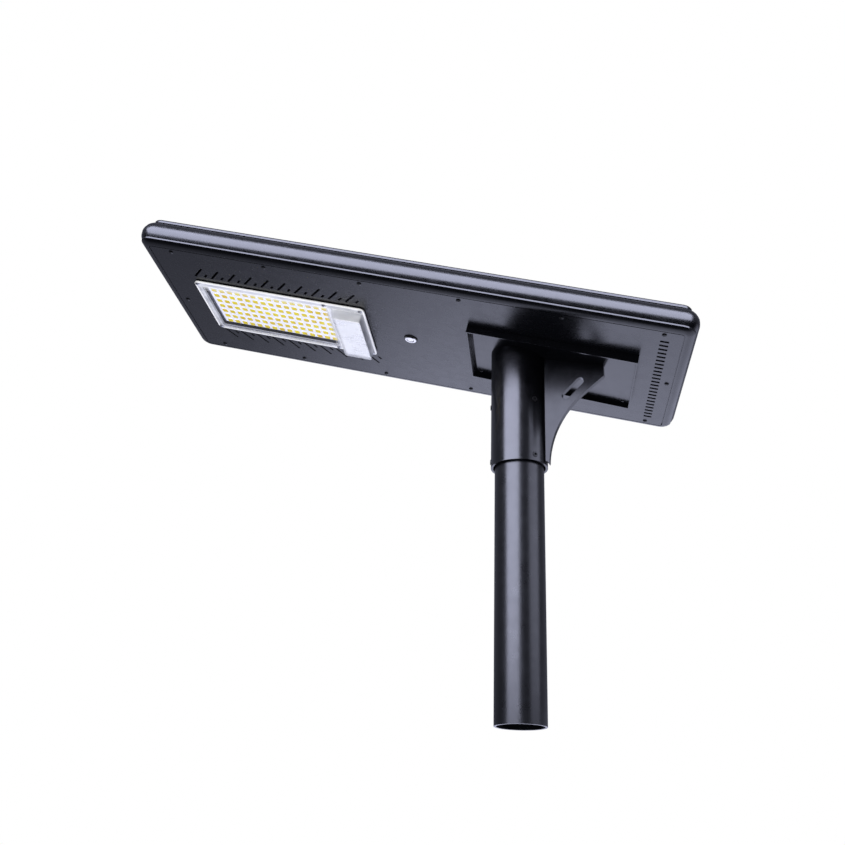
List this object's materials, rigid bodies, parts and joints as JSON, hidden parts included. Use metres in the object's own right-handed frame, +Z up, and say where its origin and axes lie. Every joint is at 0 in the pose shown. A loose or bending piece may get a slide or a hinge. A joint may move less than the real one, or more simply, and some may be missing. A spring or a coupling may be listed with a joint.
{
  "type": "solar street lamp",
  "caption": "Flat all-in-one solar street lamp head with a bull-nosed edge, tilted on a tray and sleeve that clamp over the top of a round pole.",
  "frame": {"origin": "bottom centre of the bounding box, level with the lower end of the pole stub", "axes": "+Z up along the pole; -X towards the light's end of the head and +X towards its back end; Y across the head, with -Y the side nearer the viewer in the picture"},
  "size_m": [0.8538, 0.3666, 0.7502],
  "materials": {
    "pole_paint": "satin black paint, slightly glossy, faint orange-peel",
    "bracket_paint": "satin black powder paint, smooth enough to mirror its neighbours",
    "frame_paint": "satin black paint with a soft lavender-grey sheen",
    "plate_paint": "smooth satin black paint",
    "panel_glass": "clear tempered glass over dark cells",
    "cells": "dark blue cells with fine silver lines",
    "clear_cover": "clear moulded plastic",
    "rubber": "matte black",
    "white_board": "white coated board with yellow LEDs",
    "aluminium": "bare extruded",
    "white_plastic": "white moulded plastic",
    "nickel": "bright nickel plate",
    "zinc": "zinc plate",
    "black_steel": "blackened steel",
    "cell_wrap": "blue shrink wrap",
    "case_plastic": "moulded grey case"
  },
  "bodies": {
    "pole": {"pole": "pole_paint"},
    "lamp_head": {"sleeve_tube": "bracket_paint", "gusset": "bracket_paint", "mounting_tray": "bracket_paint", "tray_bolt_near_front": "black_steel", "tray_bolt_far_front": "black_steel", "tray_bolt_near_back": "black_steel", "tray_bolt_far_back": "black_steel", "tray_nut_near_front": "zinc", "tray_nut_far_front": "zinc", "tray_nut_near_back": "zinc", "tray_nut_far_back": "zinc", "bottom_frame": "frame_paint", "top_frame": "frame_paint", "panel_rim": "frame_paint", "back_plate": "plate_paint", "plate_screw_near_1": "black_steel", "plate_screw_near_2": "black_steel", "plate_screw_near_3": "black_steel", "plate_screw_near_4": "black_steel", "plate_screw_near_5": "black_steel", "plate_screw_near_6": "black_steel", "plate_screw_far_1": "black_steel", "plate_screw_far_2": "black_steel", "plate_screw_far_3": "black_steel", "plate_screw_far_4": "black_steel", "plate_screw_far_5": "black_steel", "plate_screw_far_6": "black_steel", "plate_screw_front": "black_steel", "plate_screw_back": "black_steel", "solar_glass": "panel_glass", "solar_cells": "cells", "light_cover": "clear_cover", "cover_gasket": "rubber", "cover_screw_near_1": "zinc", "cover_screw_near_2": "zinc", "cover_screw_near_3": "zinc", "cover_screw_far_1": "zinc", "cover_screw_far_2": "zinc", "cover_screw_far_3": "zinc", "led_board": "white_board", "heat_sink": "aluminium", "sensor_face": "white_plastic", "sensor_housing": "case_plastic", "button_bezel": "nickel", "button_seal": "rubber", "button_nut": "zinc", "battery_pack": "cell_wrap", "battery_bracket": "zinc", "charge_controller": "case_plastic", "cable_light": "rubber", "cable_battery": "rubber", "cable_panel": "rubber"},
    "button": {"button_cap": "nickel"},
    "set_screw_lower_1": {"set_screw_lower_1": "black_steel"},
    "set_screw_lower_2": {"set_screw_lower_2": "black_steel"},
    "set_screw_lower_3": {"set_screw_lower_3": "black_steel"},
    "set_screw_upper_1": {"set_screw_upper_1": "black_steel"},
    "set_screw_upper_2": {"set_screw_upper_2": "black_steel"},
    "set_screw_upper_3": {"set_screw_upper_3": "black_steel"}
  },
  "joints": [
    {"name": "aim_swivel", "type": "hinge", "parent": "pole", "child": "lamp_head", "pos_m": [0.16488, 0, 0.385], "axis": [0, 0, 1], "continuous": true},
    {"name": "button_press", "type": "slide", "parent": "lamp_head", "child": "button", "axis": [0.2139, 0, 0.9769], "range_m": [0, 0.0025]},
    {"name": "set_screw_lower_1_out", "type": "slide", "parent": "lamp_head", "child": "set_screw_lower_1", "axis": [0.5592, -0.829, 0], "range_m": [0, 0.004]},
    {"name": "set_screw_lower_2_out", "type": "slide", "parent": "lamp_head", "child": "set_screw_lower_2", "axis": [0.4384, 0.8988, 0], "range_m": [0, 0.004]},
    {"name": "set_screw_lower_3_out", "type": "slide", "parent": "lamp_head", "child": "set_screw_lower_3", "axis": [-0.9976, -0.0698, 0], "range_m": [0, 0.004]},
    {"name": "set_screw_upper_1_out", "type": "slide", "parent": "lamp_head", "child": "set_screw_upper_1", "axis": [0.5592, -0.829, 0], "range_m": [0, 0.004]},
    {"name": "set_screw_upper_2_out", "type": "slide", "parent": "lamp_head", "child": "set_screw_upper_2", "axis": [0.4384, 0.8988, 0], "range_m": [0, 0.004]},
    {"name": "set_screw_upper_3_out", "type": "slide", "parent": "lamp_head", "child": "set_screw_upper_3", "axis": [-0.9976, -0.0698, 0], "range_m": [0, 0.004]}
  ]
}
